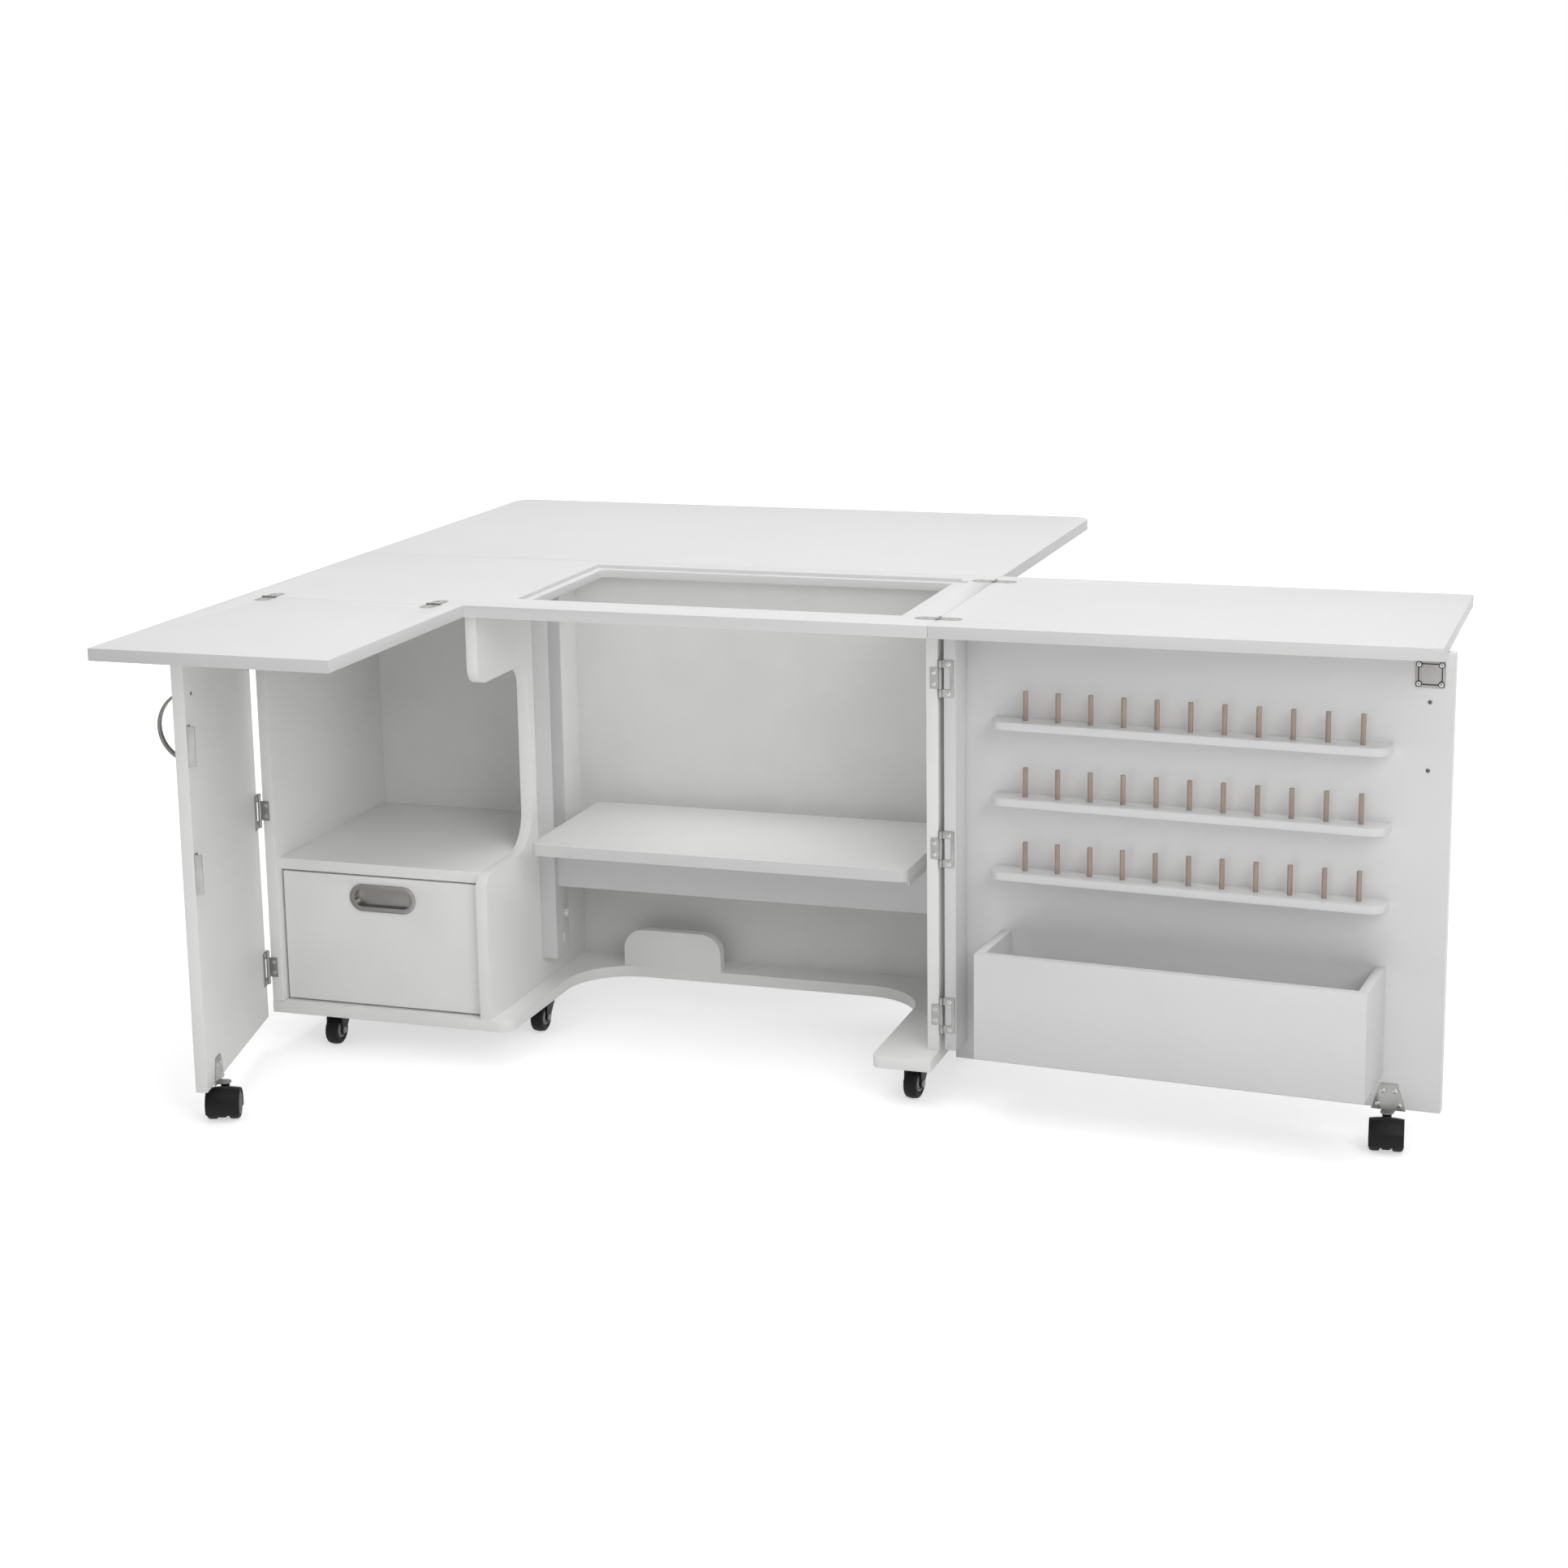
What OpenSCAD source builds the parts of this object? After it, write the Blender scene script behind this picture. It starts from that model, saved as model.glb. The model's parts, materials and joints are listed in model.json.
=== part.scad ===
// Folding sewing cabinet: a worktop with a machine cut-out, three hinged leaves, two doors on casters,
// a drawer, an open shelf and a lift platform for the machine.
// Table coordinates: X from the worktop's left edge, Y from its front edge, Z from the floor.
// Every sub-part is then moved so that the origin is the floor point under the middle of its box.

/* [Worktop] */
// Height of the work surface
top_h = 775; // [760:1:800]
// Thickness of every board
board_t = 19; // [18:0.5:20]
// Width of the main top
top_w = 1150; // [1130:1:1170]
// Depth of the main top
top_d = 462; // [455:1:470]
// Width of the left leaf, which folds back over the main top
left_leaf_w = 392; // [380:1:400]
// Depth of the rear leaf, which drops behind the cabinet
rear_leaf_d = 681; // [600:1:690]
// Gap along each seam
seam = 0.6; // [0.4:0.1:1]
// Radius of the rear leaf's outer corners
rear_corner_r = 34; // [20:1:60]

/* [Machine cut-out] */
// Left edge of the cut-out
cut_x = 452; // [445:1:460]
// Width of the cut-out
cut_w = 642; // [600:1:645]
// Front edge of the cut-out
cut_y = 75; // [65:1:90]
// Depth of the cut-out
cut_d = 348; // [300:1:352]
// Width of the ledge for an insert
ledge_w = 14; // [8:1:18]
// Depth of the ledge below the surface
ledge_drop = 6; // [4:1:8]

/* [Cabinet] */
// Inset of the side panels from the ends of the main top
side_inset = 5; // [4:1:8]
// Underside of the base board
base_z = 64; // [62:1:66]
// Front edge of the base board
base_y = 25; // [25:1:26]
// Left face of the divider
divider_x = 383; // [378:1:388]
// Front edge of the right side panel, set back for the door's shelves
right_panel_y = 78; // [74:1:82]
// Front face of the back panel
back_y = 437; // [434:1:437]
// Top of the fixed shelf over the drawer
shelf_z = 328; // [320:1:340]
// Set-back of the shelf and the drawer front
recess = 15; // [12:1:20]

/* [Doors] */
// Width of the left door
left_door_w = 376; // [360:1:378]
// Angle by which the left door stands open
left_open = 76.2; // [70:0.2:90]
// Angle by which the right door stands open
right_open = 175.8; // [160:0.2:178]
// Underside of the doors
door_z = 56; // [56:1:60]
// Distance of each door hinge axis from the side panel
hinge_out = 4.5; // [4:0.5:6]
// Gap between a closed door and the panel behind it
door_gap = 5; // [5:0.5:6]

/* [Lift] */
// Top of the platform in its storage position
platform_z = 361.5; // [355:0.5:370]
// Front edge of the platform
platform_y = 111; // [105:1:120]
// Depth of the platform
platform_d = 301; // [280:1:310]

/* [Casters] */
// Diameter of the base caster wheels
wheel_d = 50; // [46:1:50]
// Diameter of the door caster wheels
twin_d = 48; // [44:1:48]

/* [Hidden] */
$fn = 64;
tiny = 0.01;

top_under = top_h - board_t;
right_leaf_w = top_w - left_leaf_w - 1;
leaf_d = top_d - 1;
base_top = base_z + board_t;
panel_y = base_y + 1;
left_x = side_inset;
right_x = top_w - side_inset;
divider_r = divider_x + board_t;
back_t = 6;
back_face = back_y + back_t;

// Door hinge axes and the planes of the closed doors
left_axis = [left_x - hinge_out, panel_y - door_gap / 2];
right_axis = [right_x + hinge_out, right_panel_y - door_gap / 2];
door_in = panel_y - door_gap;
door_out = door_in - board_t;
right_door_w = right_x - left_x - left_door_w - 2;
door_top = top_under - 1;
hinge_z = [142, 411, 680];

// Rear hinge axis and the folding stays
rear_axis = [top_d + seam / 2, top_under - 3.5];
stay_x = [190, 950];
stay_reach = 300;
stay_off = 10;
stay_half = 5.5;
stay_len = norm([stay_reach + stay_off, stay_reach - stay_off]) / 2;
stay_angle = atan2(stay_reach - stay_off, stay_reach + stay_off);

// Leaf hinges flush with the surface
flush_axis_z = top_h + 0.25;
flush_left = [53, 343];
flush_right = [63, 410];
flush_len = 74;
flush_w = 25;

// Corner of the box under the origin, from the outermost corners of the two open doors
function turn(p, a) = [p[0] * cos(a) - p[1] * sin(a), p[0] * sin(a) + p[1] * cos(a)];
left_corner = turn([hinge_out, door_out - left_axis[1]], -left_open);
right_corner = turn([-hinge_out - right_door_w, door_out - right_axis[1]], right_open);
box_left = left_axis[0] + left_corner[0];
box_right = right_axis[0] + right_corner[0];
box_front = -seam - leaf_d;
box_back = top_d + seam + rear_leaf_d;
origin = [(box_left + box_right) / 2, (box_front + box_back) / 2, 0];

// ---------- placing ----------
module place() translate(-origin) children();

// Turns what is drawn with the door closed to where the open door stands
module on_left_door()
    place() translate([left_axis[0], left_axis[1], 0]) rotate([0, 0, -left_open])
        translate([-left_axis[0], -left_axis[1], 0]) children();

module on_right_door()
    place() translate([right_axis[0], right_axis[1], 0]) rotate([0, 0, right_open])
        translate([-right_axis[0], -right_axis[1], 0]) children();

// A box from its lowest to its highest corner
module span(lo, hi) translate(lo) cube(hi - lo);

// ---------- outlines ----------
module stadium(length, width) {
    straight = length - width;
    square([straight, width], center = true);
    for (side = [-1, 1]) translate([side * straight / 2, 0]) circle(d = width);
}

module rounded_rect(size, r) {
    translate([r, 0]) square([size[0] - 2 * r, size[1]]);
    translate([0, r]) square([size[0], size[1] - 2 * r]);
    for (x = [r, size[0] - r], y = [r, size[1] - r]) translate([x, y]) circle(r);
}

// What is cut away to round the corner of a board: the corner is at the origin, the board at +x, +y
module corner_waste(r) difference() {
    translate([-1, -1]) square(r + 1);
    translate([r, r]) circle(r);
}

// ---------- worktop ----------
module flush_pocket() translate([0, 0, -4.1]) linear_extrude(5) stadium(flush_len + 0.8, flush_w + 0.6);

module flush_pockets() {
    for (x = flush_left) translate([x, -seam / 2, top_h]) rotate([0, 0, 90]) flush_pocket();
    for (y = flush_right) translate([top_w + seam / 2, y, top_h]) flush_pocket();
}

// One half of a flush hinge: the seam lies along Y, the plate reaches to +X
module flush_half(odd) {
    knuckle = flush_w / 5;
    translate([0, 0, -4]) linear_extrude(3.8) intersection() {
        stadium(flush_len, flush_w);
        translate([3, -flush_w / 2]) square([flush_len / 2, flush_w]);
    }
    for (i = [odd:2:4]) translate([0, -flush_w / 2 + i * knuckle + 0.25, 0.25]) rotate([-90, 0, 0])
        difference() {
            union() {
                cylinder(r = 2, h = knuckle - 0.5);
                translate([0, 0.4, 0]) cube([3.4, 1.5, knuckle - 0.5]);
            }
            translate([0, 0, -1]) cylinder(r = 1.05, h = knuckle + 1);
        }
}

module main_top() color("white") place() difference() {
    span([0, 0, top_under], [top_w, top_d, top_h]);
    span([cut_x, cut_y, top_h - ledge_drop], [cut_x + cut_w, cut_y + cut_d, top_h + 1]);
    span([cut_x + ledge_w, cut_y + ledge_w, top_under - 1],
         [cut_x + cut_w - ledge_w, cut_y + cut_d - ledge_w, top_h]);
    // finger notch at the cut-out's rear right corner
    span([cut_x + cut_w - 1, cut_y + cut_d - 40, top_h - ledge_drop],
         [cut_x + cut_w + 16, cut_y + cut_d - 18, top_h + 1]);
    flush_pockets();
}

module left_leaf() color("white") place() difference() {
    span([0, -seam - leaf_d, top_under], [left_leaf_w, -seam, top_h]);
    flush_pockets();
}

module right_leaf() color("white") place() difference() {
    span([top_w + seam, 0, top_under], [top_w + seam + right_leaf_w, leaf_d, top_h]);
    flush_pockets();
}

module rear_leaf() color("white") place() translate([0, top_d + seam, top_under]) linear_extrude(board_t)
    difference() {
        square([top_w, rear_leaf_d]);
        translate([0, rear_leaf_d]) mirror([0, 1]) corner_waste(rear_corner_r);
        translate([top_w, rear_leaf_d]) rotate(180) corner_waste(rear_corner_r);
    }

module left_leaf_hinge_plates() color("silver") place()
    for (x = flush_left) translate([x, -seam / 2, top_h]) rotate([0, 0, -90]) flush_half(1);

module right_leaf_hinge_plates() color("silver") place()
    for (y = flush_right) translate([top_w + seam / 2, y, top_h]) flush_half(1);

// ---------- rear leaf hinges and stays ----------
rear_hinge_x = [120, 575, 1030];
rear_hinge_len = 60;

// A hinge half along X under two boards: the plate reaches to +Y
module under_half(odd, reach) {
    knuckle = rear_hinge_len / 5;
    span([0, 3.4, 2], [rear_hinge_len, reach, 3.5]);
    for (i = [odd:2:4]) translate([i * knuckle + 0.25, 0, 0]) difference() {
        union() {
            rotate([0, 90, 0]) cylinder(r = 3, h = knuckle - 0.5);
            translate([0, 0, 1.5]) cube([knuckle - 0.5, 3.6, 2]);
        }
        translate([-1, 0, 0]) rotate([0, 90, 0]) cylinder(r = 1.3, h = knuckle + 1);
    }
}

module rear_hinge_at(x) translate([x - rear_hinge_len / 2, rear_axis[0], rear_axis[1]]) children();

module rear_leaf_hinge_plates() color("silver") place()
    for (x = rear_hinge_x) rear_hinge_at(x) under_half(1, 30);

// A flat bar with two round ends, along +Y from the origin, with a pivot hole at its start
module stay_arm() difference() {
    rotate([90, 0, 90]) linear_extrude(4) union() {
        circle(stay_half);
        translate([0, -stay_half]) square([stay_len, 2 * stay_half]);
        translate([stay_len, 0]) circle(stay_half);
    }
    translate([-1, 0, 0]) rotate([0, 90, 0]) cylinder(r = 3.05, h = 6);
}

module stay_lower_arms() color("silver") place() for (x = stay_x)
    translate([x + 3.5, rear_axis[0] - stay_off, rear_axis[1] - stay_reach]) rotate([stay_angle, 0, 0]) {
        stay_arm();
        translate([-0.5, stay_len, 0]) rotate([0, 90, 0]) cylinder(r = 4, h = 0.6);
    }

module stay_upper_arms() color("silver") place() for (x = stay_x)
    translate([x + 8.5, rear_axis[0] + stay_reach, rear_axis[1] - stay_off])
        rotate([180 + stay_angle, 0, 0]) {
            stay_arm();
            translate([3.9, stay_len, 0]) rotate([0, 90, 0]) cylinder(r = 4, h = 0.6);
        }

module stay_wall_brackets() color("silver") place() for (x = stay_x)
    translate([x, rear_axis[0] - stay_off, rear_axis[1] - stay_reach]) {
        ear = back_face - rear_axis[0] + stay_off;
        span([-25, ear, -22], [3, ear + 2, 22]);
        span([0, ear, -stay_half], [3, 0, stay_half]);
        rotate([0, 90, 0]) cylinder(r = stay_half, h = 3);
        rotate([0, 90, 0]) cylinder(r = 3, h = 7.9);
    }

module stay_leaf_brackets() color("silver") place() for (x = stay_x)
    translate([x, rear_axis[0] + stay_reach, rear_axis[1] - stay_off]) {
        under = top_under - rear_axis[1] + stay_off;
        span([13, -22, under - 2], [41, 22, under]);
        span([13, -stay_half, 0], [16, stay_half, under]);
        translate([13, 0, 0]) rotate([0, 90, 0]) cylinder(r = stay_half, h = 3);
        translate([8.3, 0, 0]) rotate([0, 90, 0]) cylinder(r = 3, h = 6);
    }

// ---------- carcass ----------
notch_x = [436, 1049];
notch_back = 372;
notch_r = 105;

module base_board() color("white") place() translate([0, 0, base_z]) linear_extrude(board_t) difference() {
    translate([left_x, base_y]) square([right_x - left_x, back_face - base_y]);
    translate([notch_x[0], 0]) square([notch_x[1] - notch_x[0], notch_back - notch_r]);
    translate([notch_x[0] + notch_r, 0]) square([notch_x[1] - notch_x[0] - 2 * notch_r, notch_back]);
    for (x = [notch_x[0] + notch_r, notch_x[1] - notch_r]) translate([x, notch_back - notch_r])
        circle(notch_r, $fn = 96);
    translate([notch_x[0], base_y]) mirror([1, 0]) corner_waste(25);
    translate([notch_x[1], base_y]) corner_waste(14);
}

module left_side_panel() color("white") place()
    span([left_x, panel_y, base_top], [left_x + board_t, back_y, top_under]);

module right_side_panel() color("white") place()
    span([right_x - board_t, right_panel_y, base_top], [right_x, back_y, top_under]);

module back_panel() color("white") place()
    span([left_x, back_y, base_top], [right_x, back_face, top_under]);

// The divider's front edge has a deep rounded opening between the shelf and a bracket under the top
opening_back = 220;
opening_top = 641;

module divider_panel() color("white") place()
    translate([divider_r, 0, 0]) rotate([90, 0, -90]) linear_extrude(board_t) mirror([1, 0]) difference() {
        translate([panel_y, base_top]) square([back_y - panel_y, top_under - base_top]);
        translate([panel_y - 1, shelf_z]) square([opening_back - 60 - panel_y + 1, opening_top - shelf_z]);
        translate([panel_y, shelf_z + 60])
            square([opening_back - panel_y, opening_top - shelf_z - 100]);
        translate([opening_back - 60, shelf_z + 60]) circle(60);
        translate([opening_back - 60, opening_top - 60]) square([20, 60]);
        translate([opening_back - 40, opening_top - 40]) circle(40);
        translate([panel_y, opening_top]) corner_waste(28);
        translate([panel_y, shelf_z]) mirror([0, 1]) corner_waste(28);
    }

module fixed_shelf() color("white") place()
    span([left_x + board_t, panel_y + recess, shelf_z - board_t], [divider_x, back_y, shelf_z]);

module stop_board() color("white") place()
    translate([501, notch_back + 1 + board_t, base_top]) rotate([90, 0, 0]) linear_extrude(board_t)
        difference() {
            square([176, 65]);
            translate([0, 65]) mirror([0, 1]) corner_waste(36);
            translate([176, 65]) rotate(180) corner_waste(36);
        }

// ---------- lift ----------
channel_y = [245, 300];
channel_w = 28;
channel_wall = 2.5;
lift_bar = [platform_z - board_t - 92, platform_z - board_t];

module channel_left() difference() {
    span([divider_r, channel_y[0], 125], [divider_r + channel_w, channel_y[1], top_under - 6]);
    span([divider_r + channel_wall, channel_y[0] + channel_wall, 120],
         [divider_r + channel_w + 1, channel_y[1] - channel_wall, top_under]);
}

// Mirrors a piece on the divider to the right side panel
module both_sides() {
    children();
    translate([divider_r + right_x - board_t, 0, 0]) mirror([1, 0, 0]) children();
}

module lift_channels() color("white") place() both_sides() channel_left();

module lift_carriage() color("white") place() {
    both_sides() {
        span([divider_r + channel_wall + 0.5, channel_y[0] + channel_wall + 0.5, 127],
             [divider_r + channel_w, channel_y[1] - channel_wall - 0.5, lift_bar[1]]);
        translate([divider_r + channel_w, 282, 198]) rotate([0, 90, 0]) cylinder(r = 6.5, h = 4);
        span([divider_r + channel_w + 16, 135, lift_bar[1] - 12],
             [divider_r + channel_w + 19, 395, lift_bar[1]]);
        span([divider_r + channel_w + 19, 135, lift_bar[1] - 3],
             [divider_r + channel_w + 40, 395, lift_bar[1]]);
    }
    span([divider_r + channel_w, 258, lift_bar[0]], [right_x - board_t - channel_w, 261, lift_bar[1]]);
    span([divider_r + channel_w, 258, lift_bar[0]], [right_x - board_t - channel_w, 280, lift_bar[0] + 3]);
    span([divider_r + channel_w, 258, lift_bar[1] - 3], [right_x - board_t - channel_w, 280, lift_bar[1]]);
}

module lift_platform() color("white") place()
    translate([divider_r + 42, platform_y, platform_z - board_t]) linear_extrude(board_t)
        rounded_rect([right_x - board_t - divider_r - 84, platform_d], 14);

// ---------- drawer ----------
drawer_x = [left_x + board_t + 5, divider_x - 5];
drawer_y = panel_y + recess;
drawer_z = [base_top + 4, shelf_z - board_t - 3];
box_x = [left_x + board_t + 13, divider_x - 13];
box_y = [drawer_y + board_t, 415];
box_z = [base_top + 15, base_top + 185];
box_wall = 12;
pull_at = [209, 270.5];
pull_len = 118;
pull_w = 46;

module pull_outline(depth, grow) translate([pull_at[0], drawer_y - 3 + depth, pull_at[1]])
    rotate([90, 0, 0]) linear_extrude(depth) stadium(pull_len + grow, pull_w + grow);

module drawer_front() color("white") place() difference() {
    span([drawer_x[0], drawer_y, drawer_z[0]], [drawer_x[1], drawer_y + board_t, drawer_z[1]]);
    pull_outline(20, -12);
}

module drawer_box() color("white") place() difference() {
    span([box_x[0], box_y[0], box_z[0]], [box_x[1], box_y[1], box_z[1]]);
    span([box_x[0] + box_wall, box_y[0] - 1, box_z[0] - 1],
         [box_x[1] - box_wall, box_y[1] - box_wall, box_z[1] + 1]);
}

module drawer_bottom() color("white") place()
    span([box_x[0] + box_wall, box_y[0], box_z[0] + 8],
         [box_x[1] - box_wall, box_y[1] - box_wall, box_z[0] + 12]);

// Oval cup with a rim that laps over the drawer front
module drawer_pull() color("silver") place() translate([pull_at[0], drawer_y, pull_at[1]])
    rotate([90, 0, 0]) difference() {
        union() {
            linear_extrude(2) stadium(pull_len, pull_w);
            translate([0, 0, -15]) linear_extrude(15 + tiny) stadium(pull_len - 13, pull_w - 13);
        }
        translate([0, 0, -13.5]) linear_extrude(20) stadium(pull_len - 16, pull_w - 16);
    }

// Bottom-mounted steel runners: a rail on the cabinet and an angle on the drawer
runner_z = box_z[0] + 16;

module cabinet_runner() {
    span([left_x + board_t, box_y[0], runner_z - 18], [left_x + board_t + 1.5, 400, runner_z + 18]);
    span([left_x + board_t, box_y[0], runner_z - 18], [left_x + board_t + 10, 400, runner_z - 16.5]);
    translate([left_x + board_t + 1, box_y[0] + 12, runner_z - 6]) rotate([0, 90, 0]) cylinder(r = 9, h = 7);
}

module drawer_runner() {
    span([box_x[0] - 1.5, box_y[0] + 1, runner_z + 3.5], [box_x[0], 410, runner_z + 16]);
    span([box_x[0] - 11, box_y[0] + 1, runner_z + 3.5], [box_x[0], 410, runner_z + 5]);
}

module runner_pair() {
    children();
    translate([box_x[0] + box_x[1], 0, 0]) mirror([1, 0, 0]) children();
}

module cabinet_drawer_runners() color("gainsboro") place() runner_pair() cabinet_runner();
module drawer_runners() color("gainsboro") place() runner_pair() drawer_runner();

// ---------- door hinges ----------
small_leaf = [3.4, 16.5, 33];
large_leaf = [3.4, 21.5, 58];
window_edge = 15.7;

// Both leaves are drawn for the left side, closed, about the hinge axis
module door_hinge_small() {
    difference() {
        union() {
            translate([0, 0, -16]) cylinder(r = 3, h = 32);
            span([0, 1, -16], [small_leaf[0] + tiny, 2.5, 16]);
        }
        translate([0, 0, -20]) cylinder(r = 1.55, h = 40);
    }
    span([small_leaf[0], 1, -small_leaf[2] / 2], [small_leaf[1], 2.5, small_leaf[2] / 2]);
}

module door_hinge_large() {
    for (side = [0, 1]) mirror([0, 0, side]) difference() {
        union() {
            translate([0, 0, 16.6]) cylinder(r = 3, h = 12.4);
            span([0, -2.5, 17], [large_leaf[1], -1, large_leaf[2] / 2]);
        }
        translate([0, 0, 10]) cylinder(r = 1.55, h = 30);
    }
    span([window_edge, -2.5, -17.1], [large_leaf[1], -1, 17.1]);
}

module at_left_hinges() for (z = hinge_z) translate([left_axis[0], left_axis[1], z]) children();
module at_right_hinges() for (z = hinge_z) translate([right_axis[0], right_axis[1], z])
    mirror([1, 0, 0]) children();

module fixed_hinge_plates() color("silver") place() {
    at_left_hinges() door_hinge_small();
    at_right_hinges() door_hinge_small();
    for (x = flush_left) translate([x, -seam / 2, top_h]) rotate([0, 0, 90]) flush_half(0);
    for (y = flush_right) translate([top_w + seam / 2, y, top_h]) rotate([0, 0, 180]) flush_half(0);
    for (x = rear_hinge_x) rear_hinge_at(x) mirror([0, 1, 0]) under_half(0, 17);
}

module hinge_pins() color("silver") place() {
    at_left_hinges() translate([0, 0, -29]) cylinder(r = 1.5, h = 58);
    at_right_hinges() translate([0, 0, -29]) cylinder(r = 1.5, h = 58);
    for (x = flush_left) translate([x - flush_w / 2 + 0.3, -seam / 2, flush_axis_z])
        rotate([0, 90, 0]) cylinder(r = 1, h = flush_w - 0.6);
    for (y = flush_right) translate([top_w + seam / 2, y - flush_w / 2 + 0.3, flush_axis_z])
        rotate([-90, 0, 0]) cylinder(r = 1, h = flush_w - 0.6);
    for (x = rear_hinge_x) rear_hinge_at(x) rotate([0, 90, 0]) cylinder(r = 1.25, h = rear_hinge_len);
}

module left_door_hinge_leaves() color("silver") on_left_door() at_left_hinges() door_hinge_large();
module right_door_hinge_leaves() color("silver") on_right_door() at_right_hinges() door_hinge_large();

// ---------- doors ----------
handle_z = 630;
handle_span = 102;
handle_rise = 32;
strap_t = 4.5;
strap_w = 10;
handle_r = (pow(handle_span / 2, 2) + pow(handle_rise, 2)) / (2 * handle_rise);
handle_half = asin(handle_span / 2 / handle_r);

// An arched strap in front of a closed door, standing on two round feet
module arch_handle() {
    difference() {
        translate([0, handle_r - handle_rise, 0]) rotate([0, 90, 0]) rotate([0, 0, -90 - handle_half - 2])
            rotate_extrude(angle = 2 * handle_half + 4, $fn = 96)
                translate([handle_r - strap_t / 2, -strap_w / 2]) square([strap_t, strap_w]);
        translate([-strap_w, 0, -handle_span]) cube([2 * strap_w, 20, 2 * handle_span]);
    }
    for (side = [-1, 1]) translate([0, 0, side * handle_span / 2]) rotate([90, 0, 0])
        cylinder(r = 6.5, h = 3);
}

module left_door() color("white") on_left_door()
    span([left_x, door_out, door_z], [left_x + left_door_w, door_in, door_top]);

module left_door_handle() color("silver") on_left_door()
    translate([left_axis[0] + 345, door_out, handle_z]) arch_handle();

// Angle plates: one leg lies on the door, the other stands out at its free edge
module left_door_catch_plates() color("silver") on_left_door() for (z = [375, 575]) {
    span([left_axis[0] + 364, door_in, z], [left_axis[0] + 379, door_in + 2, z + 62]);
    span([left_axis[0] + 377, door_in, z], [left_axis[0] + 379, door_in + 12, z + 62]);
}

module right_door() color("white") on_right_door()
    span([right_x - right_door_w, door_out, door_z], [right_x, door_in, door_top]);

module right_door_spacer_strip() color("white") on_right_door()
    span([right_x - board_t, door_in, base_top + 2], [right_x, right_panel_y - door_gap, door_top]);

module right_door_handle() color("silver") on_right_door()
    translate([right_axis[0] - 732, door_out, handle_z]) arch_handle();

module latch_plate() color("silver") on_right_door()
    span([right_axis[0] - 753, door_in, 703], [right_axis[0] - 710, door_in + 2.5, 742]);

// ---------- spool shelves and bin ----------
spool_z = [379.5, 497, 616.5];
spool_shelf_t = 12;
spool_shelf_d = 46;
spool_x = [right_axis[0] - 682, right_axis[0] - 72];
pin_count = 11;
pin_first = right_axis[0] - 641;
pin_pitch = 51.5;
pin_r = 4;

module at_pins() for (z = spool_z, i = [0:pin_count - 1])
    translate([pin_first + i * pin_pitch, door_in + 22, z]) children();

module spool_shelves() color("white") on_right_door() difference() {
    for (z = spool_z) translate([spool_x[0], door_in, z - spool_shelf_t]) linear_extrude(spool_shelf_t)
        difference() {
            square([spool_x[1] - spool_x[0], spool_shelf_d]);
            translate([0, spool_shelf_d]) mirror([0, 1]) corner_waste(24);
            translate([spool_x[1] - spool_x[0], spool_shelf_d]) rotate(180) corner_waste(24);
        }
    at_pins() translate([0, 0, -8]) cylinder(r = pin_r, h = 9);
}

module spool_pins() color("burlywood") on_right_door()
    at_pins() translate([0, 0, -8]) cylinder(r = pin_r - 0.05, h = 53.5);

bin_x = [right_axis[0] - 680, right_axis[0] - 82];
bin_z = [108, 275];
bin_d = 140;
bin_t = 15;

module bin_front() color("white") on_right_door()
    span([bin_x[0], door_in + bin_d - bin_t, bin_z[0]], [bin_x[1], door_in + bin_d, bin_z[1]]);

module bin_ends_and_bottom() color("white") on_right_door() {
    for (x = [bin_x[0], bin_x[1] - bin_t])
        span([x, door_in, bin_z[0]], [x + bin_t, door_in + bin_d - bin_t, bin_z[1]]);
    span([bin_x[0] + bin_t, door_in, bin_z[0]],
         [bin_x[1] - bin_t, door_in + bin_d - bin_t, bin_z[0] + 12]);
}

// ---------- door casters ----------
stem_y = door_in + 10;
stem_x = [left_axis[0] + 318, right_axis[0] - 690];
// How far each caster is turned from trailing straight in under the shut cabinet
stem_turn = [-84, 10];
stem_r = 4;
flange_z = door_z - 2;
twin_trail = 19;
twin_w = 18;
twin_gap = 16;

// A tapered plate on the door's inner face with a round tab below it for the caster's stem
module caster_bracket(x) translate([x, 0, 0]) {
    translate([0, door_in + 2, 0]) rotate([90, 0, 0]) linear_extrude(2)
        polygon([[-26, flange_z], [26, flange_z], [12.5, 95], [-12.5, 95]]);
    span([-10, door_in, flange_z - 2], [10, stem_y, flange_z + tiny]);
    translate([0, stem_y, flange_z - 2]) cylinder(r = 10, h = 2);
    translate([0, stem_y, 35]) cylinder(r = stem_r, h = flange_z - 36);
}

// A web between the twin wheels, a fender over them, the axle and the neck for the stem at the origin
module twin_fork() {
    hood_r = twin_d / 2 + 3;
    half = twin_w + twin_gap / 2;
    web = twin_gap / 2 - 1;
    difference() {
        union() {
            difference() {
                translate([-half, twin_trail, twin_d / 2]) rotate([0, 90, 0]) cylinder(r = hood_r, h = 2 * half);
                for (x = [-half - 1, web]) translate([x, twin_trail, twin_d / 2]) rotate([0, 90, 0])
                    cylinder(r = twin_d / 2 + 1, h = twin_w + 2);
                translate([-half - 1, twin_trail - hood_r - 1, -9]) cube([2 * half + 2, 2 * hood_r + 2, 17]);
            }
            translate([0, 0, 30]) cylinder(r = web, h = flange_z - 2.5 - 30);
        }
        translate([0, 0, 33]) cylinder(r = stem_r + 0.06, h = 30);
    }
    translate([2 - half, twin_trail, twin_d / 2]) rotate([0, 90, 0]) cylinder(r = 4, h = 2 * half - 4);
}

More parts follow.
